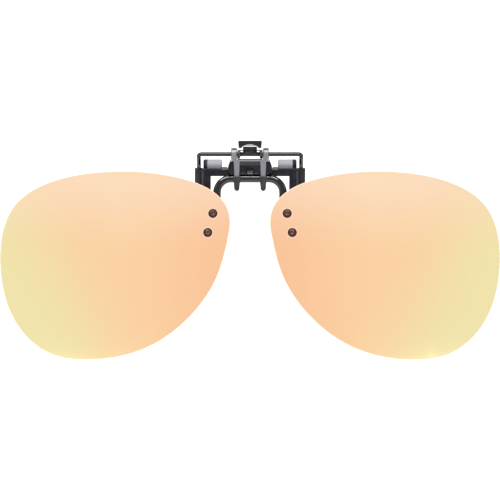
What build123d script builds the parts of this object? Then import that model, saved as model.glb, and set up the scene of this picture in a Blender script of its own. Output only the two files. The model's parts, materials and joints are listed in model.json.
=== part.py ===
from build123d import *
import os
from math import acos, degrees, sqrt

os.makedirs("parts", exist_ok=True)

# Flip-up clip-on sunglasses, in millimetres.
# The row frame has its origin in the middle of the clamp plate's flat underside, where the top of
# the spectacles' bridge rests. +X is the width, +Y is the rear, towards the spectacles, +Z is up.
# Left and right pieces are named for the side of the drawing: right is +X.

# ---- driving dimensions ------------------------------------------------------------------------
# the flip axis is the middle line of the straight bridge bar
BAR_Y = -3.95
BAR_Z = -2.15
BAR_R = 1.1

# lenses: one spherical shell each, cut to a teardrop outline
LENS_FRONT_R = 160.0
LENS_THICK = 1.1
LENS_APEX_X = 24.5
LENS_APEX_Z = -24.0
LENS_APEX_FORWARD = 4.8
LENS_EDGE_CHAMFER = 0.15
LENS_OUTLINE = [
    (5.75, -14.85),
    (6.75, -7.1),
    (22.3, 0.85),
    (38.95, 1.95),
    (49.8, 0.6),
    (65.1, -7.5),
    (69.05, -22.8),
    (61.0, -44.2),
    (52.5, -49.1),
    (48.45, -49.7),
    (26.0, -45.25),
    (9.8, -28.55),
]

# bridge wire: round bar, bent shoulders, ends pressed flat behind the lenses
SHOULDER_START_X = 5.2
SHOULDER_R = 3.9
PADDLE_THICK = 0.9
PADDLE_HALF_W = 1.6
PADDLE_GAP = 0.08

# lens rivets: places on the lens, from the flip axis
RIVET_SPOTS = [(10.2, -9.6), (11.6, -14.85)]
SHANK_R = 0.5
BUSH_R = 0.9
BUSH_FLANGE_R = 1.25
BUSH_FLANGE_T = 0.3
FIT_GAP = 0.02

# jaw wire: its straight top part turns in the eyes of the hinge bracket
WIRE_R = 0.6
WIRE_Y = -0.4
WIRE_Z = 6.76
WIRE_HALF_W = 14.15
JAW_Y = 4.05
JAW_KNEE_Z = 2.8
JAW_TIP_X = 14.0
JAW_TIP_Z = -11.3
SLEEVE_R = 1.2
SLEEVE_TOP_Z = 3.1

# hinge bracket
BRACKET_BACK = 1.5
BRACKET_T = 0.75
POST_INNER_X = 3.6
POST_OUTER_X = 5.2
YOKE_BOTTOM_Z = 4.64
YOKE_TOP_Z = 5.24
YOKE_BACK_Y = 1.3
EYE_R = 1.7
EYE_BORE_R = 0.66
LEG_X = 3.63
LEG_TIP_Z = -2.9

# clamp plate
PLATE_FRONT_Y = 1.5
PLATE_T = 0.7
SHELF_TOP_Z = 2.85
SHELF_BACK_Y = 5.2
SHELF_HALF_W = 12.6
ARM_OUTER_X = 14.1
ARM_INNER_X = 10.8
ARM_TIP_Z = -12.0
TAB_LEAN = 0.32
TAB_T = 0.6
TAB_TOP_Z = 5.6
EDGE_ROUND = 0.25

# bearing block
BLOCK_HALF_W = 5.2
BLOCK_BOTTOM_Z = 1.25
BLOCK_TOP_Z = 4.6
LUG_BORE_R = 1.15
LUG_OUTER_R = 1.75
LUG_W = 1.3

# ---- working planes through the flip axis --------------------------------------------------------
AXIS = (0, BAR_Y, BAR_Z)
FRONT = Plane(origin=AXIS, x_dir=(1, 0, 0), z_dir=(0, -1, 0))
SIDE = Plane(origin=AXIS, x_dir=(0, 1, 0), z_dir=(1, 0, 0))
TOP = Plane(origin=AXIS, x_dir=(1, 0, 0), z_dir=(0, 0, 1))

LENS_CENTRE = Vector(
    LENS_APEX_X,
    BAR_Y - LENS_APEX_FORWARD + LENS_FRONT_R,
    BAR_Z + LENS_APEX_Z,
)
LENS_BACK_R = LENS_FRONT_R - LENS_THICK
THROUGH = 20.0


def save(piece, name):
    """Label a finished piece and write its STEP file."""
    piece.part.label = name
    export_step(piece.part, f"parts/{name}.step")


def mirrored(piece):
    """The same piece on the other side of the middle plane."""
    with BuildPart() as other:
        mirror(piece.part, about=Plane.YZ)
    return other


def lens_plane(x, z, radius):
    """A plane square to the lens at (x, z) from the flip axis, on the sphere of this radius."""
    dx = x - LENS_CENTRE.X
    dz = BAR_Z + z - LENS_CENTRE.Z
    out = Vector(dx, -sqrt(radius**2 - dx**2 - dz**2), dz)
    return Plane(origin=LENS_CENTRE + out, x_dir=(1, 0, 0), z_dir=out.normalized())


# ---- lenses --------------------------------------------------------------------------------------
# A spherical shell cut to the outline, with two holes square to the surface. The apex sits towards
# the nose, so the pair wraps back at the temples.
with BuildPart() as lens_right:
    with BuildSketch(FRONT):
        with BuildLine():
            Spline(LENS_OUTLINE, periodic=True)
        make_face()
    extrude(amount=THROUGH, both=True)
    with Locations(LENS_CENTRE):
        Sphere(LENS_FRONT_R, mode=Mode.INTERSECT)
        Sphere(LENS_BACK_R, mode=Mode.SUBTRACT)
    rims = lens_right.edges().sort_by(SortBy.LENGTH)[-2:]
    chamfer(rims, LENS_EDGE_CHAMFER)
    for spot in RIVET_SPOTS:
        with BuildSketch(lens_plane(*spot, LENS_FRONT_R)):
            Circle(BUSH_R + FIT_GAP)
        extrude(amount=LENS_THICK * 2, both=True, mode=Mode.SUBTRACT)
lens_left = mirrored(lens_right)

# ---- bridge wire ---------------------------------------------------------------------------------
# Round bar across the nose, shoulders turned down, then a jog forward that flattens into a paddle
# lying behind the lens.
PADDLE_TURN = degrees(acos((RIVET_SPOTS[0][1] - RIVET_SPOTS[1][1]) / sqrt(
    (RIVET_SPOTS[1][0] - RIVET_SPOTS[0][0]) ** 2 + (RIVET_SPOTS[0][1] - RIVET_SPOTS[1][1]) ** 2
)))
LEG_X_OUT = SHOULDER_START_X + SHOULDER_R
paddle_neck = lens_plane(9.75, -7.9, LENS_BACK_R - PADDLE_GAP - PADDLE_THICK / 2)

with BuildPart() as half_wire:
    with BuildLine(FRONT) as run:
        Line((0, 0), (SHOULDER_START_X, 0))
        RadiusArc((SHOULDER_START_X, 0), (LEG_X_OUT, -SHOULDER_R), SHOULDER_R)
    with BuildSketch(SIDE):
        Circle(BAR_R)
    sweep(path=run.line)
    with BuildSketch(TOP.offset(-SHOULDER_R)) as neck_top:
        with Locations((LEG_X_OUT, 0)):
            Circle(BAR_R)
    with BuildSketch(Plane(
        origin=paddle_neck.origin, x_dir=(1, 0, 0.27), z_dir=(0.24, -0.42, -0.88)
    )) as neck_end:
        Ellipse(PADDLE_HALF_W, PADDLE_THICK / 2)
    loft([neck_top.sketch, neck_end.sketch])

with BuildPart() as paddle:
    with BuildSketch(FRONT):
        first, second = RIVET_SPOTS
        with Locations(Location(((first[0] + second[0]) / 2, (first[1] + second[1]) / 2), 90 + PADDLE_TURN)):
            SlotOverall(10.0, PADDLE_HALF_W * 2)
    extrude(amount=THROUGH, both=True)
    with Locations(LENS_CENTRE):
        Sphere(LENS_BACK_R - PADDLE_GAP, mode=Mode.INTERSECT)
        Sphere(LENS_BACK_R - PADDLE_GAP - PADDLE_THICK, mode=Mode.SUBTRACT)

with BuildPart() as bridge_wire:
    add(half_wire.part)
    add(paddle.part)
    for spot in RIVET_SPOTS:
        with BuildSketch(lens_plane(*spot, LENS_FRONT_R)):
            Circle(SHANK_R + FIT_GAP)
        extrude(amount=-THROUGH / 4, mode=Mode.SUBTRACT)
    mirror(about=Plane.YZ)

# ---- lens rivets, bushes and washers -------------------------------------------------------------
# Each rivet runs square to the lens: dished head on a flanged bush, shank through lens and paddle,
# washer and rolled tail behind.
HEAD_R = 0.85
HEAD_T = 0.32
DISH_R = 0.34
WASHER_R = 1.05
WASHER_T = 0.25
TAIL_R = 0.75
TAIL_T = 0.3
STACK = LENS_THICK + PADDLE_GAP + PADDLE_THICK

with BuildPart() as lens_bushes_right:
    for spot in RIVET_SPOTS:
        face = lens_plane(*spot, LENS_FRONT_R)
        with BuildSketch(face.offset(FIT_GAP)):
            Circle(BUSH_FLANGE_R)
        flange = extrude(amount=BUSH_FLANGE_T)
        chamfer(flange.edges().group_by(Axis(face.origin, face.z_dir))[-1], 0.1)
        with BuildSketch(face.offset(FIT_GAP)):
            Circle(BUSH_R)
        extrude(amount=-LENS_THICK)
        with BuildSketch(face.offset(FIT_GAP - LENS_THICK)):
            Circle(SHANK_R + FIT_GAP)
        extrude(amount=LENS_THICK * 2, mode=Mode.SUBTRACT)

with BuildPart() as lens_rivets_right:
    for spot in RIVET_SPOTS:
        face = lens_plane(*spot, LENS_FRONT_R)
        seat = FIT_GAP + BUSH_FLANGE_T
        with BuildSketch(face.offset(seat)):
            Circle(HEAD_R)
        head = extrude(amount=HEAD_T)
        rim = head.edges().group_by(Axis(face.origin, face.z_dir))[-1]
        fillet(rim, 0.2)
        with BuildSketch(face.offset(seat + HEAD_T)):
            Circle(DISH_R)
        extrude(amount=-0.2, taper=30, mode=Mode.SUBTRACT)
        with BuildSketch(face.offset(seat)):
            Circle(SHANK_R)
        extrude(amount=-(seat + STACK + WASHER_T + 2 * FIT_GAP))
        with BuildSketch(face.offset(-(STACK + WASHER_T + 2 * FIT_GAP))):
            Circle(TAIL_R)
        extrude(amount=-TAIL_T, taper=20)

with BuildPart() as rivet_washers_right:
    for spot in RIVET_SPOTS:
        face = lens_plane(*spot, LENS_FRONT_R)
        with BuildSketch(face.offset(-(STACK + FIT_GAP))):
            Circle(WASHER_R)
            Circle(SHANK_R + FIT_GAP, mode=Mode.SUBTRACT)
        extrude(amount=-WASHER_T)

lens_bushes_left = mirrored(lens_bushes_right)
lens_rivets_left = mirrored(lens_rivets_right)
rivet_washers_left = mirrored(rivet_washers_right)

# ---- hinge bracket -------------------------------------------------------------------------------
# One casting. Two legs reach down in front of the bearing block and over the bridge bar, a yoke runs
# back over the block, and a post at each end of the yoke has an eye for the jaw wire.
EYE = SIDE.offset(POST_INNER_X)
POST_W = POST_OUTER_X - POST_INNER_X
BRACKET_FRONT_Y = -BRACKET_BACK - BRACKET_T

with BuildPart() as bracket_post:
    with BuildSketch(EYE):
        with Locations((WIRE_Y, WIRE_Z)):
            Circle(EYE_R)
        with Locations((WIRE_Y, (YOKE_BOTTOM_Z + WIRE_Z) / 2)):
            Rectangle(2 * EYE_R, WIRE_Z - YOKE_BOTTOM_Z)
    extrude(amount=POST_W)
    chamfer(bracket_post.faces().filter_by(Axis.X).edges().filter_by(Axis.Y, reverse=True), 0.15)

with BuildPart() as hinge_bracket:
    with BuildSketch(FRONT.offset(BRACKET_BACK)):
        with BuildLine():
            Polyline(
                (LEG_X - 0.92, YOKE_TOP_Z),
                (LEG_X + 0.92, YOKE_TOP_Z),
                (LEG_X + 0.72, 0.9),
                (LEG_X + 0.5, LEG_TIP_Z),
                (LEG_X - 0.5, LEG_TIP_Z),
                (LEG_X - 0.72, 0.9),
                close=True,
            )
        make_face()
    extrude(amount=BRACKET_T)
    chamfer(hinge_bracket.faces().sort_by(Axis.Y)[0].edges(), 0.12)
    with BuildSketch(SIDE):
        with Locations(((BRACKET_FRONT_Y + YOKE_BACK_Y) / 2, (YOKE_BOTTOM_Z + YOKE_TOP_Z) / 2)):
            RectangleRounded(YOKE_BACK_Y - BRACKET_FRONT_Y, YOKE_TOP_Z - YOKE_BOTTOM_Z, 0.2)
    extrude(amount=POST_OUTER_X)
    add(bracket_post.part)
    with BuildSketch(EYE):
        with Locations((WIRE_Y, WIRE_Z)):
            Circle(EYE_BORE_R)
    extrude(amount=THROUGH, mode=Mode.SUBTRACT)
    mirror(about=Plane.YZ)

# ---- rubber sleeves on the bracket's legs ----------------------------------------------------------
SLEEVE_WALL = 0.32

with BuildPart() as leg_sleeve_right:
    with BuildSketch(FRONT.offset(BRACKET_BACK - SLEEVE_WALL)) as outline:
        with BuildLine():
            Polyline((LEG_X - 0.75, -2.7), (LEG_X - 1.03, 0.75), (LEG_X + 1.03, 0.75), (LEG_X + 0.75, -2.7))
            RadiusArc((LEG_X + 0.75, -2.7), (LEG_X - 0.75, -2.7), 0.75)
        make_face()
    extrude(amount=BRACKET_T + 2 * SLEEVE_WALL)
    fillet(leg_sleeve_right.faces().sort_by(Axis.Y)[0].edges(), 0.35)
    add(hinge_bracket.part, mode=Mode.SUBTRACT)
leg_sleeve_left = mirrored(leg_sleeve_right)

# ---- bearing block -------------------------------------------------------------------------------
# The block sits between the bracket and the clamp plate. Two hooked lugs under it hold the bridge
# bar, which turns in them, and a window in its front shows the leaf spring.
WINDOW_HALF_W = 1.15
WINDOW_TOP_Z = 3.1
WINDOW_DEPTH = 1.15
CHEEK_FRONT = 1.9

with BuildPart() as bearing_block:
    with BuildSketch(FRONT.offset(-PLATE_FRONT_Y)):
        with Locations((0, (BLOCK_TOP_Z + BLOCK_BOTTOM_Z) / 2)):
            Rectangle(2 * BLOCK_HALF_W, BLOCK_TOP_Z - BLOCK_BOTTOM_Z)
    extrude(amount=PLATE_FRONT_Y + BRACKET_BACK)
    with BuildSketch(FRONT.offset(-PLATE_FRONT_Y)):
        for side in (1, -1):
            with BuildLine():
                Polyline(
                    (side * BLOCK_HALF_W, BLOCK_TOP_Z),
                    (side * 5.3, BLOCK_TOP_Z),
                    (side * 5.3, 5.2),
                    (side * 5.5, 5.1),
                    (side * 5.75, 4.2),
                    (side * 6.05, 3.4),
                    (side * 6.1, 1.7),
                    (side * BLOCK_HALF_W, 1.7),
                    close=True,
                )
            make_face()
    extrude(amount=PLATE_FRONT_Y + CHEEK_FRONT)
    with BuildSketch(FRONT.offset(BRACKET_BACK)):
        with Locations((0, 3.95)):
            Rectangle(3.6, 0.22)
        with Locations((0, 3.45)):
            Rectangle(3.6, 0.16)
    extrude(amount=-0.3, mode=Mode.SUBTRACT)
    with BuildSketch(FRONT.offset(BRACKET_BACK)):
        with Locations((0, (WINDOW_TOP_Z + BLOCK_BOTTOM_Z) / 2)):
            Rectangle(2 * WINDOW_HALF_W, WINDOW_TOP_Z - BLOCK_BOTTOM_Z)
    extrude(amount=-WINDOW_DEPTH, mode=Mode.SUBTRACT)
    with BuildSketch(SIDE.offset(-THROUGH / 2)):
        with BuildLine():
            Polyline(
                (-BRACKET_BACK, BLOCK_BOTTOM_Z),
                (-BRACKET_BACK, BLOCK_BOTTOM_Z + 0.4),
                (-BRACKET_BACK + 0.4, BLOCK_BOTTOM_Z),
                close=True,
            )
        make_face()
    extrude(amount=THROUGH, mode=Mode.SUBTRACT)
    for side in (1, -1):
        with BuildSketch(SIDE.offset(side * LEG_X - LUG_W / 2)):
            Circle(LUG_OUTER_R)
            with Locations((2.5, 0)):
                Rectangle(2 * (2.5 - PLATE_FRONT_Y), 4, mode=Mode.SUBTRACT)
            with BuildLine():
                Polyline((-3, -4.3), (-3, 3), (0, 3), (0, 0), close=True)
            make_face(mode=Mode.SUBTRACT)
        extrude(amount=LUG_W)
    with BuildSketch(SIDE.offset(-THROUGH / 2)):
        Circle(LUG_BORE_R)
    extrude(amount=THROUGH, mode=Mode.SUBTRACT)

# ---- leaf spring in the window -------------------------------------------------------------------
LEAF_T = 0.2
LEAF_HALF_W = 0.75

with BuildPart() as detent_leaf:
    with BuildSketch(SIDE.offset(-LEAF_HALF_W)):
        with BuildLine() as leaf_line:
            FilletPolyline((-0.47, 2.15), (-0.47, 1.6), (-1.35, 1.25), (-1.35, 1.75), radius=0.2)
        trace(leaf_line.line, LEAF_T)
    extrude(amount=2 * LEAF_HALF_W)

# ---- clamp plate ---------------------------------------------------------------------------------
# One casting: the apron in front, the upstand that the block is riveted to, the shelf that sits on
# the spectacles' bridge, two leaning wing tabs and two arms that reach down in front of the rims.
UPSTAND_HALF_W = 4.6
UPSTAND_TOP_Z = 4.6
APRON_BOTTOM_Z = 0.72
FINGER_X = 13.2
FINGER_HALF_W = 0.85
SHOULDER_CORNER_R = 1.5
INNER_BEND_R = 0.5
SHELF_FRONT_Y = PLATE_FRONT_Y + EDGE_ROUND + 0.05
RIDGE_INNER_X = 6.15
TAB_INNER_X = 7.66
TAB_OUTER_X = 12.95

with BuildPart() as wing_tab:
    with BuildSketch(TOP.offset(SHELF_TOP_Z - 0.3)):
        with BuildLine() as tab_line:
            FilletPolyline((TAB_INNER_X, 2.5), (12.65, 2.5), (12.65, 3.7), radius=0.95)
        trace(tab_line.line, TAB_T)
    extrude(amount=TAB_TOP_Z - SHELF_TOP_Z + 0.3, dir=(0, TAB_LEAN, 1))
    with BuildSketch(FRONT.offset(-THROUGH / 2)):
        with Locations(((TAB_INNER_X + TAB_OUTER_X) / 2, TAB_TOP_Z - THROUGH / 4)):
            RectangleRounded(TAB_OUTER_X - TAB_INNER_X, THROUGH / 2, 0.8)
    extrude(amount=THROUGH, mode=Mode.INTERSECT)

with BuildPart() as clamp_plate:
    with BuildSketch(FRONT.offset(-(PLATE_FRONT_Y + PLATE_T))):
        with BuildLine():
            Polyline(
                (0, APRON_BOTTOM_Z),
                (ARM_INNER_X, APRON_BOTTOM_Z),
                (ARM_INNER_X, -3.6),
                (FINGER_X - FINGER_HALF_W, -5.2),
                (FINGER_X - FINGER_HALF_W, ARM_TIP_Z),
                (FINGER_X + FINGER_HALF_W, ARM_TIP_Z),
                (FINGER_X + FINGER_HALF_W, -4.6),
                (ARM_OUTER_X, -3.4),
                (ARM_OUTER_X, SHELF_TOP_Z - SHOULDER_CORNER_R),
            )
            RadiusArc(
                (ARM_OUTER_X, SHELF_TOP_Z - SHOULDER_CORNER_R),
                (ARM_OUTER_X - SHOULDER_CORNER_R, SHELF_TOP_Z),
                -SHOULDER_CORNER_R,
            )
            Polyline((ARM_OUTER_X - SHOULDER_CORNER_R, SHELF_TOP_Z), (0, SHELF_TOP_Z), (0, APRON_BOTTOM_Z))
        make_face()
    extrude(amount=PLATE_T)
    front_edges = clamp_plate.faces().sort_by(Axis.Y)[0].edges()
    fillet(front_edges.filter_by_position(Axis.X, 0.1, THROUGH), EDGE_ROUND)
    with BuildSketch(SIDE):
        with BuildLine():
            Polyline(
                (SHELF_FRONT_Y, SHELF_TOP_Z),
                (SHELF_BACK_Y, SHELF_TOP_Z),
                (SHELF_BACK_Y, SHELF_TOP_Z - PLATE_T),
                (PLATE_FRONT_Y + PLATE_T + INNER_BEND_R, SHELF_TOP_Z - PLATE_T),
            )
            RadiusArc(
                (PLATE_FRONT_Y + PLATE_T + INNER_BEND_R, SHELF_TOP_Z - PLATE_T),
                (PLATE_FRONT_Y + PLATE_T, SHELF_TOP_Z - PLATE_T - INNER_BEND_R),
                -INNER_BEND_R,
            )
            Polyline(
                (PLATE_FRONT_Y + PLATE_T, SHELF_TOP_Z - PLATE_T - INNER_BEND_R),
                (SHELF_FRONT_Y, SHELF_TOP_Z - PLATE_T - INNER_BEND_R),
                (SHELF_FRONT_Y, SHELF_TOP_Z),
            )
        make_face()
    extrude(amount=SHELF_HALF_W)
    with BuildSketch(FRONT.offset(-(PLATE_FRONT_Y + PLATE_T))):
        with Locations((UPSTAND_HALF_W / 2, (UPSTAND_TOP_Z + SHELF_TOP_Z) / 2)):
            Rectangle(UPSTAND_HALF_W, UPSTAND_TOP_Z - SHELF_TOP_Z)
    extrude(amount=PLATE_T)
    with BuildSketch(FRONT.offset(-(PLATE_FRONT_Y + PLATE_T))):
        with BuildLine():
            Polyline(
                (RIDGE_INNER_X, SHELF_TOP_Z - 0.3),
                (RIDGE_INNER_X, 3.1),
                (RIDGE_INNER_X + 0.2, 3.3),
                (TAB_INNER_X + 0.3, 3.3),
                (TAB_INNER_X + 0.3, SHELF_TOP_Z - 0.3),
                close=True,
            )
        make_face()
    extrude(amount=PLATE_T - EDGE_ROUND)
    add(wing_tab.part)
    mirror(about=Plane.YZ)

# ---- rubber sleeves on the clamp plate's arms ------------------------------------------------------
with BuildPart() as arm_sleeve_right:
    with BuildSketch(FRONT.offset(-(PLATE_FRONT_Y + PLATE_T / 2))):
        with Locations((FINGER_X, -8.9)):
            SlotOverall(7.6, 2.5, rotation=90)
    extrude(amount=0.8, both=True)
    fillet(arm_sleeve_right.edges().filter_by(Plane.XZ), 0.3)
    add(clamp_plate.part, mode=Mode.SUBTRACT)
arm_sleeve_left = mirrored(arm_sleeve_right)

# ---- rivets that hold the block to the clamp plate -------------------------------------------------
# Two rivets through the plate's upstand into the block, with low round heads at the rear.
BLOCK_RIVET_X = 2.3
BLOCK_RIVET_Z = 3.75
BLOCK_RIVET_R = 0.5
BLOCK_RIVET_HEAD_R = 0.85
BLOCK_RIVET_HEAD_T = 0.4
BLOCK_RIVET_DEPTH = 1.4

with BuildPart() as block_rivets:
    with BuildSketch(FRONT.offset(-(PLATE_FRONT_Y + PLATE_T + BLOCK_RIVET_HEAD_T))):
        with Locations((-BLOCK_RIVET_X, BLOCK_RIVET_Z), (BLOCK_RIVET_X, BLOCK_RIVET_Z)):
            Circle(BLOCK_RIVET_HEAD_R)
    extrude(amount=BLOCK_RIVET_HEAD_T)
    fillet(block_rivets.faces().sort_by(Axis.Y)[-2:].edges(), 0.3)
    with BuildSketch(FRONT.offset(-(PLATE_FRONT_Y + PLATE_T))):
        with Locations((-BLOCK_RIVET_X, BLOCK_RIVET_Z), (BLOCK_RIVET_X, BLOCK_RIVET_Z)):
            Circle(BLOCK_RIVET_R)
    extrude(amount=PLATE_T + BLOCK_RIVET_DEPTH)

for holder in (clamp_plate, bearing_block):
    with holder:
        with BuildSketch(FRONT.offset(-THROUGH / 2)):
            with Locations((-BLOCK_RIVET_X, BLOCK_RIVET_Z), (BLOCK_RIVET_X, BLOCK_RIVET_Z)):
                Circle(BLOCK_RIVET_R)
        extrude(amount=THROUGH / 2 - PLATE_FRONT_Y + BLOCK_RIVET_DEPTH + PLATE_FRONT_Y, mode=Mode.SUBTRACT)

# ---- jaw wire --------------------------------------------------------------------------------------
# One bent wire: its straight top turns in the bracket's eyes, its ends hang down behind the arms.
RIGHT_BENDS = [
    (WIRE_HALF_W, BAR_Y + WIRE_Y, BAR_Z + WIRE_Z),
    (WIRE_HALF_W, BAR_Y + JAW_Y, BAR_Z + JAW_KNEE_Z),
    (JAW_TIP_X, BAR_Y + JAW_Y, BAR_Z + JAW_TIP_Z),
]
LEFT_BENDS = [(-x, y, z) for x, y, z in reversed(RIGHT_BENDS)]

with BuildPart() as jaw_wire:
    with BuildLine() as jaw_path:
        FilletPolyline(*LEFT_BENDS, *RIGHT_BENDS, radius=[1.6, 0.9, 0.9, 1.6])
    with BuildSketch(Plane(origin=jaw_path.line @ 0, z_dir=jaw_path.line % 0)):
        Circle(WIRE_R)
    sweep(path=jaw_path.line)

# ---- rubber sleeves on the jaw wire ----------------------------------------------------------------
JAW_LEG = Vector(*RIGHT_BENDS[2]) - Vector(*RIGHT_BENDS[1])
JAW_LEG_DIR = JAW_LEG.normalized()
SLEEVE_END = 0.6
SLEEVE_LEN = (SLEEVE_TOP_Z - JAW_TIP_Z) / abs(JAW_LEG_DIR.Z) + SLEEVE_END

with BuildPart() as jaw_sleeve_right:
    tip = Plane(
        origin=Vector(*RIGHT_BENDS[2]) + JAW_LEG_DIR * SLEEVE_END,
        x_dir=(0, 1, 0),
        z_dir=-JAW_LEG_DIR,
    )
    with BuildSketch(tip):
        Circle(SLEEVE_R)
    extrude(amount=SLEEVE_LEN)
    ends = jaw_sleeve_right.edges().filter_by(GeomType.CIRCLE).sort_by(Axis.Z)
    fillet(ends[0], 0.8)
    fillet(jaw_sleeve_right.edges().filter_by(GeomType.CIRCLE).sort_by(Axis.Z)[-1], 0.3)
    add(jaw_wire.part, mode=Mode.SUBTRACT)
jaw_sleeve_left = mirrored(jaw_sleeve_right)

# ---- finger lever and its pad ----------------------------------------------------------------------
# The lever is a strip that saddles the jaw wire and rises to a flange bent forward. The moulded pad
# covers the flange, with both ends turned down so that the finger doesn't slip.
LEVER_HALF_W = 1.95
SADDLE_R = 1.12
LEVER_T = 0.7
FLANGE_Z = 2.75
FLANGE_FRONT = 2.6
PAD_HALF_W = 3.3
PAD_TOP_Z = 3.63
PAD_END_Z = 1.6
PAD_FRONT = 3.3
PAD_BACK = 0.75
PIVOT = Plane(origin=(0, BAR_Y + WIRE_Y, BAR_Z + WIRE_Z), x_dir=(0, 1, 0), z_dir=(1, 0, 0))

with BuildPart() as finger_lever:
    with BuildSketch(PIVOT.offset(-LEVER_HALF_W)):
        Circle(SADDLE_R)
        with BuildLine():
            Polyline((0, 0), (3, -1.4), (3, -4), (-3, -4), (-3, -1.4), close=True)
        make_face(mode=Mode.SUBTRACT)
        with BuildLine() as lever_line:
            FilletPolyline((0, 0.5), (0, FLANGE_Z), (-FLANGE_FRONT, FLANGE_Z), radius=0.75)
        trace(lever_line.line, LEVER_T)
        Circle(WIRE_R, mode=Mode.SUBTRACT)
    extrude(amount=2 * LEVER_HALF_W)
    fillet(finger_lever.faces().filter_by(Axis.X).edges().filter_by(Axis.X, reverse=True), 0.1)

with BuildPart() as finger_pad:
    pad_back = Plane(origin=(0, BAR_Y + WIRE_Y + PAD_BACK, BAR_Z + WIRE_Z), x_dir=(1, 0, 0), z_dir=(0, -1, 0))
    with BuildSketch(pad_back):
        with BuildLine():
            Polyline(
                (2.1, 2.05),
                (2.3, PAD_END_Z),
                (PAD_HALF_W - 0.15, PAD_END_Z),
                (PAD_HALF_W, PAD_TOP_Z),
                (-PAD_HALF_W, PAD_TOP_Z),
                (-PAD_HALF_W + 0.15, PAD_END_Z),
                (-2.3, PAD_END_Z),
                (-2.1, 2.05),
            )
            ThreePointArc((-2.1, 2.05), (0, 2.6), (2.1, 2.05))
        make_face()
    extrude(amount=PAD_BACK + PAD_FRONT)
    fillet(finger_pad.edges().filter_by(Axis.Y), 0.35)
    fillet(finger_pad.faces().sort_by(Axis.Y)[0].edges(), 0.25)
    add(finger_lever.part, mode=Mode.SUBTRACT)

# ---- torsion spring --------------------------------------------------------------------------------
# One wire with a coil round the jaw wire on each side of the lever. The outer ends of the coils are
# joined by a bar that rests on the yoke, and each inner end is a tang in the lever's side. It is drawn
# about the jaw wire's axis and then set in place.
SPRING_WIRE_R = 0.15
SPRING_R = 1.05
SPRING_PITCH = 0.31
SPRING_TURNS = 2.25
SPRING_START_X = 2.7
SPRING_END_X = SPRING_START_X + SPRING_PITCH * SPRING_TURNS
TANG_LEN = 1.0
LINK_DROP = YOKE_TOP_Z + SPRING_WIRE_R + FIT_GAP - WIRE_Z

with BuildPart() as spring_on_axis:
    with BuildLine() as coil:
        Helix(
            SPRING_PITCH,
            SPRING_PITCH * SPRING_TURNS,
            SPRING_R,
            center=(SPRING_START_X, 0, 0),
            direction=(1, 0, 0),
            lefthand=True,
        )
    with BuildSketch(Plane(origin=coil.line @ 0, z_dir=coil.line % 0)):
        Circle(SPRING_WIRE_R)
    sweep(path=coil.line, is_frenet=True)
    with BuildLine(Plane.XZ.offset(-SPRING_R)) as link:
        FilletPolyline((SPRING_END_X, 0), (SPRING_END_X, LINK_DROP), (0, LINK_DROP), radius=0.3)
    with BuildSketch(Plane(origin=link.line @ 0, z_dir=link.line % 0)):
        Circle(SPRING_WIRE_R)
    sweep(path=link.line)
    with Locations(coil.line @ 0):
        Sphere(SPRING_WIRE_R)
    with BuildSketch(Plane(origin=coil.line @ 0, z_dir=(-1, 0, 0))):
        Circle(SPRING_WIRE_R)
    extrude(amount=TANG_LEN)
    mirror(about=Plane.YZ)

with BuildPart() as jaw_spring:
    with Locations((0, BAR_Y + WIRE_Y, BAR_Z + WIRE_Z)):
        add(spring_on_axis.part)

with finger_lever:
    add(jaw_spring.part, mode=Mode.SUBTRACT)

# ---- files -----------------------------------------------------------------------------------------
PIECES = {
    "clamp_plate": clamp_plate,
    "bearing_block": bearing_block,
    "block_rivets": block_rivets,
    "hinge_bracket": hinge_bracket,
    "detent_leaf": detent_leaf,
    "leg_sleeve_left": leg_sleeve_left,
    "leg_sleeve_right": leg_sleeve_right,
    "arm_sleeve_left": arm_sleeve_left,
    "arm_sleeve_right": arm_sleeve_right,
    "jaw_spring": jaw_spring,
    "jaw_wire": jaw_wire,
    "jaw_sleeve_left": jaw_sleeve_left,
    "jaw_sleeve_right": jaw_sleeve_right,
    "finger_lever": finger_lever,
    "finger_pad": finger_pad,
    "bridge_wire": bridge_wire,
    "lens_left": lens_left,
    "lens_right": lens_right,
    "lens_bushes_left": lens_bushes_left,
    "lens_bushes_right": lens_bushes_right,
    "lens_rivets_left": lens_rivets_left,
    "lens_rivets_right": lens_rivets_right,
    "rivet_washers_left": rivet_washers_left,
    "rivet_washers_right": rivet_washers_right,
}
for name, piece in PIECES.items():
    save(piece, name)
    print(f"{name:20s} {len(piece.part.solids())} solids, {piece.part.volume:8.2f} mm3")
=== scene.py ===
# %% [markdown]
# # Flip-up clip-on sunglasses
#
# The frame of this model comes from CAD: every part, size and hinge is already there, in metres, with
# the origin in the middle of the clamp's underside. +X is the width, +Y points to the wearer's face and
# +Z is up. Blender shapes afresh what CAD keeps plain, which is the bent wire and the turned rivets, and
# gives every part its finish. Places are measured from the frame's own hinges and parts.

# %% Load the frame
import json
import math

import bmesh
import bpy
from mathutils import Matrix, Vector


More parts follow.
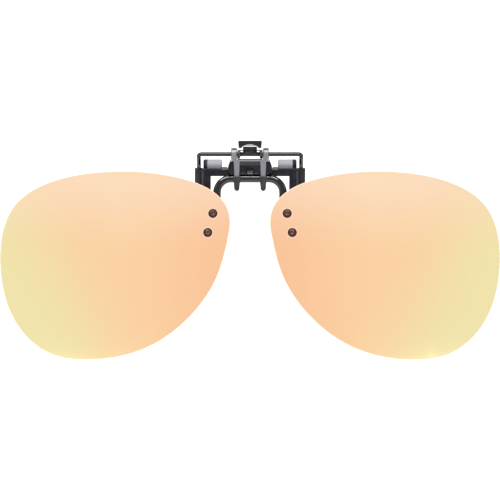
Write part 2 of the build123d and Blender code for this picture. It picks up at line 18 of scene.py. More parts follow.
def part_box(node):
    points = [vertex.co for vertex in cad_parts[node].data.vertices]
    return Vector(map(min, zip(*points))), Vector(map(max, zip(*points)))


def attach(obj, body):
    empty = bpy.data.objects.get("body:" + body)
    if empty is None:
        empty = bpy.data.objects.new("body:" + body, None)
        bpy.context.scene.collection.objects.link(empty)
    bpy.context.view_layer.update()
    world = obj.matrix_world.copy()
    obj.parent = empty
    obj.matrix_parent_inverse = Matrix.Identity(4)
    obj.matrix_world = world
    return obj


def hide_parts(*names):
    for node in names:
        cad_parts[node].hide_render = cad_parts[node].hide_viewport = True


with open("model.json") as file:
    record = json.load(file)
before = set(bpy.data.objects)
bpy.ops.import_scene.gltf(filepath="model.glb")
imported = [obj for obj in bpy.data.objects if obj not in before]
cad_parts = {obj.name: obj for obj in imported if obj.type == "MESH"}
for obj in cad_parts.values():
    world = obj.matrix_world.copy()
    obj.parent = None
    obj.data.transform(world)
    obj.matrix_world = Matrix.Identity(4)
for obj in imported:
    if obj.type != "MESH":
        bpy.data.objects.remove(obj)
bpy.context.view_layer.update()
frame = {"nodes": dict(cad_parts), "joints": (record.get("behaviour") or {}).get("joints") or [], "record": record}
MM = 0.001
nodes = frame["nodes"]

# %% [markdown]
# ## Where the main lines are
#
# Two lines carry the whole object. The first is the flip axis, the middle line of the straight bar
# between the lenses. The second is the pivot of the spring jaw. Both are stored with the joints, so a
# copied number can't drift away from the CAD.

# %% Axes of the two hinges
joints = {joint["name"]: joint for joint in frame["joints"]}
flip_axis = Vector(joints["lens_flip"]["pos_m"])
jaw_axis = Vector(joints["jaw_open"]["pos_m"])
print("flip axis at", tuple(round(v / MM, 2) for v in flip_axis), "mm")

# %% [markdown]
# ## Shader maths that reads like maths
#
# A material is a graph of nodes, and long graphs are hard to read in a script. `Value` wraps one output
# socket, so `1 - mask * 0.3` adds the Math nodes by itself. `Finish` is one material. Its `node` method
# makes any other node: first the node's settings, then what its sockets hold or are linked to.
# Lengths on a surface are in millimetres, because `place` scales the object's own coordinates.

# %% Value and Finish
X, Y, Z = 0, 1, 2
NORMAL_OUTPUT, OBJECT_OUTPUT = 1, 3


class Value:
    """One output socket. Arithmetic on it adds Math nodes."""

    def __init__(self, finish, socket):
        self.finish = finish
        self.socket = socket

    def math(self, operation, *terms):
        return self.finish.node("ShaderNodeMath", {"operation": operation}, dict(enumerate(terms)))

    def __add__(self, other):
        return self.math("ADD", self, other)

    def __sub__(self, other):
        return self.math("SUBTRACT", self, other)

    def __rsub__(self, other):
        return self.math("SUBTRACT", other, self)

    def __mul__(self, other):
        return self.math("MULTIPLY", self, other)

    __radd__ = __add__
    __rmul__ = __mul__

    def absolute(self):
        return self.math("ABSOLUTE", self)

    def rise(self, low, high):
        """0 below low, 1 above high, and a soft step between them."""
        return self.finish.node(
            "ShaderNodeMapRange",
            {"interpolation_type": "SMOOTHSTEP"},
            {"Value": self, "From Min": low, "From Max": high},
        )

    def within(self, low, high, blur):
        """1 between low and high, 0 outside, soft by this blur at both ends."""
        return self.rise(low - blur, low + blur) * (1 - self.rise(high - blur, high + blur))


class Finish:
    """One material: a Principled surface and the nodes that feed it."""

    def __init__(self, name, **constants):
        self.material = bpy.data.materials.new(name)
        self.material.use_nodes = True
        self.tree = self.material.node_tree
        self.surface = self.tree.nodes["Principled BSDF"]
        for socket, value in constants.items():
            self.surface.inputs[socket.replace("_", " ")].default_value = value

    def node(self, kind, settings=None, sockets=None, out=0):
        node = self.tree.nodes.new(kind)
        for name, value in (settings or {}).items():
            setattr(node, name, value)
        for name, value in (sockets or {}).items():
            self.join(node.inputs[name], value)
        return Value(self, node.outputs[out])

    def join(self, socket, value):
        if isinstance(value, Value):
            self.tree.links.new(value.socket, socket)
        else:
            socket.default_value = value

    def feed(self, name, value):
        self.join(self.surface.inputs[name], value)

    def place(self, stretch=(1, 1, 1)):
        """The object's own coordinates in millimetres, stretched along an axis where asked."""
        coordinates = self.node("ShaderNodeTexCoord", out=OBJECT_OUTPUT)
        scale = tuple(s / MM for s in stretch)
        return self.node("ShaderNodeVectorMath", {"operation": "MULTIPLY"}, {0: coordinates, 1: scale})

    def part(self, vector, axis):
        """One of a vector's three parts."""
        return self.node("ShaderNodeSeparateXYZ", {}, {"Vector": vector}, axis)

    def forwards(self):
        """How squarely a face of the object points forwards: 1 straight, 0 sideways, -1 backwards."""
        return 0 - self.part(self.node("ShaderNodeTexCoord", out=NORMAL_OUTPUT), Y)

    def noise(self, size, detail, stretch=(1, 1, 1)):
        """Noise whose blotches are about this many millimetres across."""
        sockets = {"Vector": self.place(stretch), "Scale": 1 / size, "Detail": detail}
        return self.node("ShaderNodeTexNoise", {}, sockets)

    def mix(self, factor, first, second):
        settings = {"data_type": "RGBA"}
        return self.node("ShaderNodeMix", settings, {0: factor, 6: first, 7: second}, out=2)

    def bump(self, height, depth, distance):
        return self.node("ShaderNodeBump", {}, {"Strength": depth, "Distance": distance, "Height": height})


def screen(red, green, blue):
    """A colour as seen on a screen, 0 to 255, turned into the linear numbers that light adds up in."""
    def linear(part):
        part /= 255
        return part / 12.92 if part <= 0.04045 else ((part + 0.055) / 1.055) ** 2.4
    return (linear(red), linear(green), linear(blue), 1.0)


def scaled(colour, by):
    """The same colour, brighter or darker by this factor."""
    return tuple(min(1, part * by) for part in colour[:3]) + (1,)


# %% [markdown]
# ## Finishes
#
# A small metal part is never one even colour. Plating is thinner on edges, tumbling leaves a fine grain
# and fingers leave soft patches, which show in the gloss before they show in the colour. Each finish
# below therefore has one coarse noise for the patches and one fine noise for the grain. Edges are found
# with the Bevel node: where the rounded normal leaves the flat one, there is an edge.

# %% Edge wear shared by the metals
GRAIN_HEIGHT = 0.01 * MM
SKIN_HEIGHT = 0.02 * MM
PLATING_EDGE = 0.14


def edge_mask(finish, radius):
    """About 0 on open faces and up to 1 along sharp edges, within this radius in millimetres."""
    rounded = finish.node("ShaderNodeBevel", {"samples": 6}, {"Radius": radius * MM})
    flat = finish.node("ShaderNodeNewGeometry", out=1)
    agree = finish.node("ShaderNodeVectorMath", {"operation": "DOT_PRODUCT"}, {0: rounded, 1: flat}, out=1)
    return (1 - agree).rise(0.01, 0.22)


def plated(name, colour, worn, metallic, rough, grain=0.09, patches=2.2, wear=0.7, level=0.5, relief=0.25):
    """Plated or painted metal: grain, finger patches, and edges where the finish has rubbed."""
    finish = Finish(name, Metallic=metallic, Specular_IOR_Level=level)
    fine = finish.noise(grain, 4)
    coarse = finish.noise(patches, 2)
    edges = edge_mask(finish, PLATING_EDGE) * coarse.rise(0.3, 0.62) * wear
    tint = finish.mix(coarse.rise(0.35, 0.7) * 0.5, colour, scaled(colour, 1.4))
    finish.feed("Base Color", finish.mix(edges, tint, worn))
    finish.feed("Roughness", rough + (fine - 0.5) * rough * 0.6 + (coarse - 0.5) * rough * 0.5)
    finish.feed("Normal", finish.bump(fine, relief, GRAIN_HEIGHT))
    return finish.material


steel = plated("spring_steel", screen(84, 84, 88), screen(150, 150, 153), 1.0, 0.28)
enamel = plated(
    "black_wire", screen(8, 8, 9), screen(46, 46, 48), 0.0, 0.06, wear=0.3, level=0.34, relief=0.03
)
rivet_metal = plated(
    "rivet_metal", screen(50, 19, 12), screen(88, 48, 34), 0.4, 0.36, grain=0.06, patches=0.8
)
print("plated finishes:", steel.name, enamel.name, rivet_metal.name)

# %% [markdown]
# ## Castings with painted highlights and shade
#
# The clamp's castings start from a dark base. On the plate, faces that catch the frontal and overhead light
# are painted bright as highlights: the two wing tabs, which lean back, the bends of the short ledges next to
# them, a strip along the block's brow and a line down each arm's bevelled edge. The brow and the arm lines
# get less. The hinge bracket is satin nickel. Its front keeps the metal's pale tone, brightened as a painted
# highlight, and its sides keep the dark base as painted shade, which outlines each bright face. In the shader
# a face is bright where the object's own normal points forwards, inside the listed places. The coordinate's
# Normal output belongs to the object, so the painted light stays put in any pose.

# %% Painted highlights and shade on dark castings
BRIGHT_PLACE_BLUR = 0.06
CASTING_EDGE = 0.12


def casting_with_painted_highlights(name, metal_and_highlight_places, black, bright, low=0.62, high=0.9):
    """Dark casting whose forward faces inside the given places are painted bright. This is a painted highlight,
    over the nickel's own tone on the bracket, whose sides stay dark as painted shade.
    """
    finish = Finish(name)
    place = finish.place()
    x = finish.part(place, X).absolute()
    z = finish.part(place, Z)
    fine = finish.noise(0.1, 4)
    coarse = finish.noise(1.9, 2)
    brushed = finish.noise(0.05, 2, stretch=(1, 1, 0.08))
    metal_and_painted_highlight = 0
    for x_low, x_high, z_low, z_high, amount in metal_and_highlight_places:
        inside = x.within(x_low, x_high, BRIGHT_PLACE_BLUR) * z.within(z_low, z_high, BRIGHT_PLACE_BLUR)
        metal_and_painted_highlight = inside * amount + metal_and_painted_highlight
    # Only faces that point forwards get it, so the brightness follows each face's direction. This is painted light
    # fixed to the object.
    metal_and_painted_highlight = metal_and_painted_highlight * finish.forwards().rise(low, high)
    rubbed = edge_mask(finish, CASTING_EDGE) * coarse.rise(0.4, 0.65) * 0.35
    # The dark base is the plate's own gunmetal, and on the nickel bracket it is painted shade on the sides.
    dark_and_shaded_base = finish.mix(coarse.rise(0.4, 0.7) * 0.6, black, scaled(black, 1.7))
    dark_and_shaded_base = finish.mix(rubbed, dark_and_shaded_base, bright)
    # The bright colour with brushed streaks is a painted highlight on the plate, and the nickel's own tone with a
    # painted highlight on the bracket.
    silver_and_highlight = finish.mix(brushed.rise(0.3, 0.7) * 0.35, bright, scaled(bright, 0.72))
    finish.feed("Base Color", finish.mix(metal_and_painted_highlight, dark_and_shaded_base, silver_and_highlight))
    finish.feed("Metallic", 0.85 - metal_and_painted_highlight * 0.5)
    finish.feed("Roughness", 0.34 + metal_and_painted_highlight * 0.1 + (fine - 0.5) * 0.16 + (coarse - 0.5) * 0.12)
    finish.feed("Normal", finish.bump(fine + brushed * metal_and_painted_highlight * 0.5, 0.25, GRAIN_HEIGHT))
    return finish.material


BAR_Z = flip_axis.z / MM
# places as nearest and farthest |x|, lowest and highest z in millimetres, and how strongly they are painted bright
# On the plate these places are painted highlights: the leaning tabs, the ledge bends, the brow and the arm edges,
# where they catch the overhead light.
TAB_HIGHLIGHT = (7.7, 11.75, BAR_Z + 2.95, BAR_Z + 5.45, 1.0)
LEDGE_HIGHLIGHT = (6.15, 7.7, BAR_Z + 2.5, BAR_Z + 3.4, 1.0)
BROW_HIGHLIGHT = (0.0, 3.3, BAR_Z + 3.7, BAR_Z + 4.6, 0.45)
ARM_EDGE_HIGHLIGHT = (12.85, 13.3, BAR_Z - 3.2, BAR_Z + 2.2, 0.3)
BRACKET_NICKEL_AND_HIGHLIGHT = (0.0, 6.0, BAR_Z - 4.0, BAR_Z + 8.3, 1.0)
PLATE_HIGHLIGHTS = [TAB_HIGHLIGHT, LEDGE_HIGHLIGHT, BROW_HIGHLIGHT, ARM_EDGE_HIGHLIGHT]
gunmetal = casting_with_painted_highlights("gunmetal_plate", PLATE_HIGHLIGHTS, screen(30, 29, 34), screen(93, 92, 97))
# The bracket's front is its own nickel tone with a painted highlight. Its sides get the dark base as painted
# shade.
nickel = casting_with_painted_highlights("satin_nickel", [BRACKET_NICKEL_AND_HIGHLIGHT], screen(38, 37, 41), screen(91, 90, 95), low=0.6, high=0.86)
print("two-tone castings:", gunmetal.name, nickel.name)

# %% [markdown]
# ## Rubber and plastic
#
# Moulded parts copy the skin of their mould, so they get a pebbled bump instead of a metal's grain. Skin
# oil and dust dry in patches, which are paler and less glossy. One function makes the rubber sleeves,
# the finger pad and the rivets' bushes, which differ in colour, gloss and pebbles.

# %% Rubber and mouldings
def moulded(name, colour, dusty, rough, pebble, depth, level=0.22):
    """Rubber or plastic from a mould: a pebbled skin with paler, drier patches."""
    finish = Finish(name, Metallic=0.0, Specular_IOR_Level=level)
    skin = finish.noise(pebble, 3)
    patches = finish.noise(1.6, 2)
    finish.feed("Base Color", finish.mix(patches.rise(0.42, 0.7) * 0.6, colour, dusty))
    finish.feed("Roughness", rough + (patches - 0.5) * 0.2)
    finish.feed("Normal", finish.bump(skin, depth, SKIN_HEIGHT))
    return finish.material


rubber = moulded("black_rubber", screen(24, 24, 25), screen(40, 40, 41), 0.5, 0.1, 0.5)
pad_plastic = moulded("black_plastic", screen(12, 12, 13), screen(22, 22, 23), 0.34, 0.14, 0.4)
bush_plastic = moulded("brown_plastic", screen(36, 11, 6), screen(46, 18, 11), 0.4, 0.12, 0.2, 0.1)
print("moulded finishes:", rubber.name, pad_plastic.name, bush_plastic.name)

# %% [markdown]
# ## The lever's painted highlight
#
# The lever is black like the wires. The strip just under the pad, where the metal bends, catches the
# overhead light, so a pale band is painted there as a highlight.

# %% Black lever with a painted highlight band
BAND_START, BAND_FULL = 1.98, 2.16
BAND_RAGGED = 0.12


def lever_with_painted_highlight():
    """Black metal with a painted highlight: a pale, metallic band above this height over the jaw's axis, along a
    ragged line.
    """
    finish = Finish("black_lever", Specular_IOR_Level=0.4)
    z = finish.part(finish.place(), Z) - jaw_axis.z / MM
    ragged = (finish.noise(0.35, 3) - 0.5) * BAND_RAGGED
    band = (z + ragged).rise(BAND_START, BAND_FULL)
    fine = finish.noise(0.08, 4)
    coarse = finish.noise(1.2, 2)
    black = finish.mix(coarse.rise(0.4, 0.7), screen(10, 10, 11), screen(24, 24, 25))
    # The pale colour and the metallic sheen above the band's start are a painted highlight on the bend.
    finish.feed("Base Color", finish.mix(band, black, screen(214, 213, 214)))
    finish.feed("Metallic", band * 0.8)
    finish.feed("Roughness", 0.3 + (fine - 0.5) * 0.2)
    finish.feed("Normal", finish.bump(fine, 0.3, GRAIN_HEIGHT))
    return finish.material


lever_black = lever_with_painted_highlight()
# This is where the painted highlight band begins.
print("painted highlight band from", round(jaw_axis.z / MM + BAND_START, 2), "mm up")

# %% [markdown]
# ## The mirror coating
#
# A mirror lens is smoke-tinted plastic with a metal oxide film on its front. The film's colour depends
# on its thickness, which varies over the lens because the coating is evaporated from one side. So the
# colour drifts: rose at the nose, peach in the middle, straw yellow at the lower temple, and paler along
# the top. The drift is written from the distance to the middle of the glasses and the height, both in
# millimetres, so the two lenses mirror each other. One material does the whole lens: the object's own
# normal tells the coated front, the bare polished edge and the smoke-coloured back apart.

# %% Where the rivets are
def rivet_centres(node):
    """Middles of the two loose rivets in one node, upper one first."""
    copy = bmesh.new()
    copy.from_mesh(node.data)
    bmesh.ops.remove_doubles(copy, verts=copy.verts, dist=1e-6)
    low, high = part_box(node.name)
    split = (low[2] + high[2]) / 2
    centres = []
    for upper in (True, False):
        group = [v.co for v in copy.verts if (v.co.z > split) == upper]
        centres.append(sum(group, Vector()) / len(group))
    copy.free()
    return centres


rivet_spots = rivet_centres(nodes["lens_rivets_right"])
print("rivets at", [tuple(round(v / MM, 2) for v in spot) for spot in rivet_spots], "mm")

# %% Mirror, polished edge and smoke
ROSE, PEACH = screen(250, 196, 154), screen(251, 209, 162)
STRAW, PALE = screen(240, 227, 172), screen(252, 224, 196)
HALO, RIM = screen(253, 226, 198), screen(222, 176, 142)
POLISHED_EDGE = screen(176, 142, 122)
SMOKE, THIN_SMOKE = screen(84, 70, 62), screen(88, 74, 65)
HALO_START, HALO_END = 1.35, 1.75
RIM_WIDTH = 0.3


def film_colour(finish, place):
    """The coating's colour at each place on the front, in millimetres from the middle and the flip axis."""
    x = finish.part(place, X).absolute()
    z = finish.part(place, Z) - BAR_Z
    drift = (finish.noise(30, 2) - 0.5) * 8
    across = x + drift
    film = finish.mix(across.rise(4, 36), ROSE, PEACH)
    film = finish.mix((across - z * 0.5).rise(46, 82), film, STRAW)
    upwards = (z + drift * 0.4 - (x - 36).absolute() * 0.1).rise(-24, 3)
    return finish.mix(upwards * 0.8, film, PALE)


def rivet_halos(finish, place, film):
    """The film with a paler ring round each rivet."""
    no_depth = finish.node("ShaderNodeVectorMath", {"operation": "MULTIPLY"}, {0: place, 1: (1, 0, 1)})
    for spot in rivet_spots:
        for side in (1, -1):
            centre = (side * spot.x / MM, 0, spot.z / MM)
            away = finish.node("ShaderNodeVectorMath", {"operation": "DISTANCE"}, {0: no_depth, 1: centre}, 1)
            film = finish.mix((1 - away.rise(HALO_START, HALO_END)) * 0.6, film, HALO)
    return film


def mirror_lens():
    """Coated front, bare polished edge and smoke-coloured back in one material."""
    finish = Finish("mirror_lens", Specular_IOR_Level=0.5)
    place = finish.place()
    film = rivet_halos(finish, place, film_colour(finish, place))
    film = finish.mix(edge_mask(finish, RIM_WIDTH) * 0.55, film, RIM)
    smear = finish.noise(11, 4, stretch=(1, 1, 0.35)).rise(0.45, 0.75)
    smoke = finish.mix(finish.noise(14, 3).rise(0.3, 0.75), SMOKE, THIN_SMOKE)
    forwards = finish.forwards()
    front = forwards.rise(0.86, 0.9)
    back = (0 - forwards).rise(0.8, 0.86)
    finish.feed("Base Color", finish.mix(front, finish.mix(back, POLISHED_EDGE, smoke), film))
    finish.feed("Metallic", front)
    finish.feed("Roughness", 0.52 - front * 0.44 + smear * 0.05)
    return finish.material


mirror = mirror_lens()

# %% [markdown]
# ## Handing out the finishes
#
# The CAD record names a material slot for every part, so one table from slot to finish dresses them all.
# Only the lever departs from its slot, because of its painted highlight band.

# %% Give the CAD nodes their finishes
def wear_finish(piece, material):
    """Make this the piece's only material."""
    piece.data.materials.clear()
    piece.data.materials.append(material)


FINISH_OF_SLOT = {
    "gunmetal_plate": gunmetal,
    "satin_nickel": nickel,
    "spring_steel": steel,
    "black_wire": enamel,
    "black_rubber": rubber,
    "black_plastic": pad_plastic,
    "mirror_lens": mirror,
    "rivet_metal": rivet_metal,
    "brown_plastic": bush_plastic,
}
for row in frame["record"]["subparts"]:
    wear_finish(nodes[row["node"]], FINISH_OF_SLOT[row["material_slot"]])
wear_finish(nodes["finger_lever"], lever_black)
print("finishes given to", len(nodes), "nodes")

# %% [markdown]
# ## From mesh to piece
#
# Every new piece ends the same way: its normals are made to point outwards, its faces are shaded
# smooth except across sharp corners, and it is handed to the body it moves with. The CAD node that it
# stands for is then hidden, but keeps its place in the motion.

# %% Hand a finished mesh over
SHARP_CORNER = math.radians(38)
WELD = 1e-7


def make_piece(mesh, name, body, slot_name, replaced):
    """Turn a finished mesh into a named object on its body, in place of these CAD nodes."""
    bmesh.ops.remove_doubles(mesh, verts=mesh.verts, dist=WELD)
    bmesh.ops.recalc_face_normals(mesh, faces=mesh.faces)
    for face in mesh.faces:
        face.smooth = True
    for edge in mesh.edges:
        edge.smooth = edge.calc_face_angle(0.0) < SHARP_CORNER
    data = bpy.data.meshes.new(name)
    mesh.to_mesh(data)
    open_edges = sum(1 for edge in mesh.edges if not edge.is_manifold)
    mesh.free()
    piece = bpy.data.objects.new(name, data)
    bpy.context.scene.collection.objects.link(piece)
    wear_finish(piece, FINISH_OF_SLOT[slot_name])
    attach(piece, body)
    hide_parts(*replaced)
    print(name, len(data.polygons), "faces,", open_edges, "open edges")


# %% [markdown]
# ## The formed wire
#
# The bridge is one length of round wire. It runs straight through the clamp's lugs, turns down at the
# shoulders, steps forward to reach the lenses and is pressed flat where the rivets go through. A curve
# with a bevel would give the round part, but not the flat. So the wire is one ring, extruded again and
# again: each new ring is a circle squeezed in thickness and spread in width as far as its place along
# the wire asks for. The straight bar, the shoulder, the neck and the flat paddle each list their own
# rings: middle, direction, the way the front faces, half width, half thickness, and how far it is
# pressed. Only half is made, and a mirror makes it whole without a seam.

# %% Formed bridge wire
WIRE_R = 1.1
SHOULDER_START = 5.2
SHOULDER_R = 3.9
PRESSED_HALF_W = 1.6
PRESSED_HALF_T = 0.44
PADDLE_MIDDLE = Vector((10.9, 0, -12.225))
PADDLE_RUN = Vector((0.2577, 0, -0.9662))
PADDLE_HALF_LEN = 5.0
LENS_BALL = Vector((24.5, 155.2, -24.0))
PADDLE_BALL_R = 158.37
RING_POINTS = 40
STRAIGHT_RINGS = 6
SHOULDER_RINGS = 14
NECK_RINGS = 14
PADDLE_RINGS = 24
NECK_END = 3.9
NECK_PULL = 4.4
TIP_GAP = 0.02
TIP_ROUND = 0.5
TIP_THIN = 0.55
SQUARENESS = 0.45
QUARTER_TURN = math.radians(90)
FORWARDS = Vector((0, -1, 0))


def on_ball(point, radius):
    """The point straight in front of or behind this one, on the lens's ball of this radius."""
    dx, dz = point.x - LENS_BALL.x, point.z - LENS_BALL.z
    return Vector((point.x, LENS_BALL.y - math.sqrt(radius**2 - dx**2 - dz**2), point.z))


def ball_normal(point):
    """Straight out of the lens's front at this point."""
    return (point - LENS_BALL).normalized()


def straight_rings():
    """Rings along the bar, from the middle to the shoulder."""
    along = Vector((1, 0, 0))
    steps = [SHOULDER_START * step / STRAIGHT_RINGS for step in range(STRAIGHT_RINGS + 1)]
    return [(along * gone, along, FORWARDS, WIRE_R, WIRE_R, 0) for gone in steps]


def shoulder_rings():
    """A quarter turn downwards."""
    rows = []
    for step in range(1, SHOULDER_RINGS + 1):
        turn = QUARTER_TURN * step / SHOULDER_RINGS
        middle = Vector((SHOULDER_START + SHOULDER_R * math.sin(turn), 0, SHOULDER_R * (math.cos(turn) - 1)))
        rows.append((middle, Vector((math.cos(turn), 0, -math.sin(turn))), FORWARDS, WIRE_R, WIRE_R, 0))
    return rows


def neck_rings(start):
    """An S-bend from the shoulder to the back of the lens, pressed flat on the way."""
    end = on_ball(PADDLE_MIDDLE - PADDLE_RUN * NECK_END, PADDLE_BALL_R)
    pull_in, pull_out = Vector((0, 0, -NECK_PULL)), PADDLE_RUN * NECK_PULL
    rows = []
    for step in range(1, NECK_RINGS + 1):
        t = step / NECK_RINGS
        middle = (
            start * (2 * t**3 - 3 * t**2 + 1)
            + pull_in * (t**3 - 2 * t**2 + t)
            + end * (3 * t**2 - 2 * t**3)
            + pull_out * (t**3 - t**2)
        )
        along = (
            (end - start) * (6 * t - 6 * t**2)
            + pull_in * (3 * t**2 - 4 * t + 1)
            + pull_out * (3 * t**2 - 2 * t)
        ).normalized()
        press = t * t * (3 - 2 * t)
        half_w = WIRE_R + (PRESSED_HALF_W - WIRE_R) * press
        half_t = WIRE_R + (PRESSED_HALF_T - WIRE_R) * press
        rows.append((middle, along, FORWARDS.lerp(ball_normal(end), t), half_w, half_t, press))
    return rows


def paddle_rings():
    """The pressed flat. Its rings crowd together towards the round tip."""
    length = NECK_END + PADDLE_HALF_LEN
    rows = []
    for step in range(1, PADDLE_RINGS + 1):
        share = step / PADDLE_RINGS
        gone = length * (math.sin(QUARTER_TURN * share) if share > 0.5 else share * 1.414)
        gone = min(gone, length - TIP_GAP)
        left = min(length - gone, PRESSED_HALF_W)
        middle = on_ball(PADDLE_MIDDLE + PADDLE_RUN * (gone - NECK_END), PADDLE_BALL_R)
        half_w = math.sqrt(PRESSED_HALF_W**2 - (PRESSED_HALF_W - left) ** 2)
        half_t = PRESSED_HALF_T * min(1.0, TIP_THIN + (1 - TIP_THIN) * left / TIP_ROUND)
        rows.append((middle, PADDLE_RUN, ball_normal(middle), half_w, half_t, 1))
    return rows


def set_ring(ring, middle, along, facing, half_w, half_t, flat):
    """Lay one ring square to the wire's run. The ring holds each vertex's place on a unit circle."""
    width_way = along.cross(facing).normalized()
    thick_way = width_way.cross(along).normalized()
    for vert, (sideways, forwards) in ring.items():
        pressed = math.copysign(abs(forwards) ** (1 - SQUARENESS * flat), forwards)
        offset = width_way * sideways * half_w + thick_way * pressed * half_t
        vert.co = (flip_axis / MM + middle + offset) * MM


def ring_edges(mesh, ring):
    """The edges that run round this ring."""
    return [edge for edge in mesh.edges if all(vert in ring for vert in edge.verts)]


def next_ring(mesh, ring):
    """Extrude the ring's edges. Each new vertex takes over the place of the one it grew from."""
    grown = bmesh.ops.extrude_edge_only(mesh, edges=ring_edges(mesh, ring))["geom"]
    verts = [part for part in grown if isinstance(part, bmesh.types.BMVert)]
    return {v: ring[e.other_vert(v)] for v in verts for e in v.link_edges if e.other_vert(v) in ring}


stations = straight_rings() + shoulder_rings()
stations += neck_rings(stations[-1][0]) + paddle_rings()
mesh = bmesh.new()
made = bmesh.ops.create_circle(mesh, cap_ends=False, segments=RING_POINTS, radius=1)
ring = {vert: (vert.co.x, vert.co.y) for vert in made["verts"]}
set_ring(ring, *stations[0])
for station in stations[1:]:
    ring = next_ring(mesh, ring)
    set_ring(ring, *station)
bmesh.ops.edgeloop_fill(mesh, edges=ring_edges(mesh, ring))
half_wire = mesh.verts[:] + mesh.edges[:] + mesh.faces[:]
bmesh.ops.mirror(mesh, geom=half_wire, matrix=Matrix.Identity(4), merge_dist=1e-6, axis="X")
make_piece(mesh, "formed_bridge_wire", "lens_frame", "black_wire", ["bridge_wire"])

# %% [markdown]
# ## Turned rivets
#
# A rivet, its bush and its washer are round about one line, so each is half an outline spun once. Listing
# the outline as distances from that line and heights above the lens shows its real section: the dished
# head, the shank, and the tail that is rolled over behind. The line is square to the lens, which is part
# of a ball, so its direction comes from the middle of that ball. The outline of a hollow piece is closed
# before it is spun, which makes a ring. The rivet's starts and ends on the line, which makes it solid.

# %% Rivets, bushes and washers
LENS_FRONT_R = 160.0
SPIN_STEPS = 48


def turned(name, outline, slot_name, replaced, side):
    """One spun outline at each rivet place. side is 1 for the right lens and -1 for the left."""
    mesh = bmesh.new()
    for spot in rivet_spots:
        seat = on_ball(Vector((spot.x / MM, 0, spot.z / MM - BAR_Z)), LENS_FRONT_R)
        up = ball_normal(seat)
        out = up.orthogonal().normalized()
        seat += flip_axis / MM
        verts = [mesh.verts.new((seat + out * away + up * height) * MM) for away, height in outline]
        edges = [mesh.edges.new(pair) for pair in zip(verts, verts[1:])]
        hollow = outline[0][0] > 0
        if hollow:
            edges.append(mesh.edges.new((verts[-1], verts[0])))
        bmesh.ops.spin(
            mesh, geom=verts + edges, cent=seat * MM, axis=up,
            angle=math.radians(360), steps=SPIN_STEPS, use_merge=True,
        )
    bmesh.ops.scale(mesh, verts=mesh.verts, vec=(side, 1, 1))
    make_piece(mesh, name, "lens_frame", slot_name, replaced)


# outlines as distance from the line and height above the lens's front, in millimetres
DISH = [(0, 0.44), (0.16, 0.445), (0.3, 0.5), (0.38, 0.6)]
HEAD = [(0.46, 0.64), (0.58, 0.635), (0.7, 0.6), (0.8, 0.52), (0.85, 0.42), (0.85, 0.35), (0.83, 0.325)]
SHANK = [(0.5, 0.325), (0.5, -2.34)]
TAIL = [(0.74, -2.35), (0.75, -2.4), (0.7, -2.54), (0.56, -2.64), (0.35, -2.66), (0, -2.66)]
RIVET = DISH + HEAD + SHANK + TAIL
FLANGE = [(0.53, 0.31), (1.08, 0.315), (1.2, 0.27), (1.25, 0.19), (1.25, 0.05), (1.22, 0.025)]
BUSH = FLANGE + [(0.9, 0.025), (0.9, -1.05), (0.53, -1.05)]
WASHER = [(0.53, -2.1), (1.0, -2.1), (1.05, -2.14), (1.05, -2.28), (1.0, -2.33), (0.53, -2.33)]
for side_name, side in (("right", 1), ("left", -1)):
    turned("turned_rivets_" + side_name, RIVET, "rivet_metal", ["lens_rivets_" + side_name], side)
    turned("turned_bushes_" + side_name, BUSH, "brown_plastic", ["lens_bushes_" + side_name], side)
    turned("turned_washers_" + side_name, WASHER, "spring_steel", ["rivet_washers_" + side_name], side)

# %% [markdown]
# ## Studio
#
# The floor is a pale sheet that curves up behind, so no horizon shows. It stops short of the front, where
# the lower half of each mirror lens would otherwise show a grey band.

# %% Floor sheet
FLOOR_Z = -0.16
FLOOR_FRONT_Y = -0.28
FLOOR_HALF = 3.0
WALL_HEIGHT = 3.5
WALL_BEND = 1.6
mesh = bmesh.new()
bmesh.ops.create_grid(mesh, x_segments=1, y_segments=1, size=FLOOR_HALF)
rear_edge = max(mesh.edges, key=lambda edge: sum(v.co.y for v in edge.verts))
for vert in mesh.verts:
    vert.co.y = max(vert.co.y, FLOOR_FRONT_Y)
raised = bmesh.ops.extrude_edge_only(mesh, edges=[rear_edge])["geom"]
wall_top = [part for part in raised if isinstance(part, bmesh.types.BMVert)]
bmesh.ops.translate(mesh, verts=wall_top, vec=(0, 0, WALL_HEIGHT))
bmesh.ops.bevel(
    mesh, geom=[rear_edge], affect="EDGES", offset=WALL_BEND, segments=24, profile=0.5, material=-1
)
bmesh.ops.translate(mesh, verts=mesh.verts, vec=(0, 0, FLOOR_Z))
for face in mesh.faces:
    face.smooth = True
floor_mesh = bpy.data.meshes.new("floor")
mesh.to_mesh(floor_mesh)
mesh.free()
floor = bpy.data.objects.new("floor", floor_mesh)
bpy.context.scene.collection.objects.link(floor)
paper = Finish("paper", Metallic=0.0, Specular_IOR_Level=0.0)
fibre = paper.noise(90, 3)
paper.feed("Base Color", paper.mix(fibre.rise(0.3, 0.7), screen(243, 243, 243), screen(246, 246, 246)))
paper.feed("Roughness", 0.9 + fibre * 0.05)
wear_finish(floor, paper.material)
print("floor sheet at", FLOOR_Z, "m")

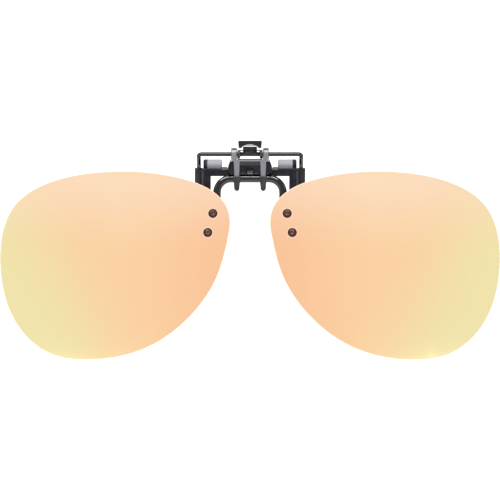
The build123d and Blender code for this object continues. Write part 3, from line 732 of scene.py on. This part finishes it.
# %% [markdown]
# ## Lamps
#
# A mirror shows whatever faces it. To give the lenses one even glow the room is white all round, and the
# lamps stand well above and beside what the lenses can see: near-flat mirrors only look about 20 degrees
# up and down. The lamps draw the bright lines on the round bars.

# %% Light
def soft_lamp(name, place, aim, size, radiance):
    """A rectangular soft box of this brightness, aimed at a point."""
    lamp = bpy.data.lights.new(name, "AREA")
    lamp.shape = "RECTANGLE"
    lamp.size, lamp.size_y = size
    lamp.energy = radiance * math.pi * size[0] * size[1]
    lamp_object = bpy.data.objects.new(name, lamp)
    lamp_object.location = place
    lamp_object.rotation_euler = (Vector(aim) - Vector(place)).to_track_quat("-Z", "Y").to_euler()
    bpy.context.scene.collection.objects.link(lamp_object)


LAMP_AIM = (0, 0, -0.02)
soft_lamp("top_box", (-0.2, -1.1, 1.72), LAMP_AIM, (2.6, 0.8), 22.0)
for name, x in (("left_box", -2.0), ("right_box", 2.0)):
    soft_lamp(name, (x, -0.55, 0.3), LAMP_AIM, (0.5, 1.6), 3.0)

world = bpy.data.worlds.new("studio")
world.use_nodes = True
background = world.node_tree.nodes["Background"]
background.inputs["Color"].default_value = (1.0, 1.0, 1.0, 1.0)
background.inputs["Strength"].default_value = 1.0
bpy.context.scene.world = world
bpy.context.scene.view_settings.view_transform = "Standard"

# %% [markdown]
# ## Camera
#
# The glasses are seen from straight in front through a long lens, so nothing is distorted. The distance
# follows from the width that the picture should hold: a lens of this length on this sensor sees that
# width from exactly that far away.

# %% Camera
FRAME_WIDTH = 137.8 * MM
FRAME_CENTRE_Z = flip_axis.z - 19.65 * MM
FOCAL_LENGTH = 235
SENSOR_WIDTH = 36
camera_data = bpy.data.cameras.new("camera")
camera_data.lens = FOCAL_LENGTH
camera_data.sensor_width = SENSOR_WIDTH
distance = FRAME_WIDTH / SENSOR_WIDTH * FOCAL_LENGTH
camera = bpy.data.objects.new("camera", camera_data)
camera.location = (0, flip_axis.y - distance, FRAME_CENTRE_Z)
camera.rotation_euler = (math.radians(90), 0, 0)
bpy.context.scene.collection.objects.link(camera)
bpy.context.scene.camera = camera
print("camera stands", round(distance, 3), "m in front")
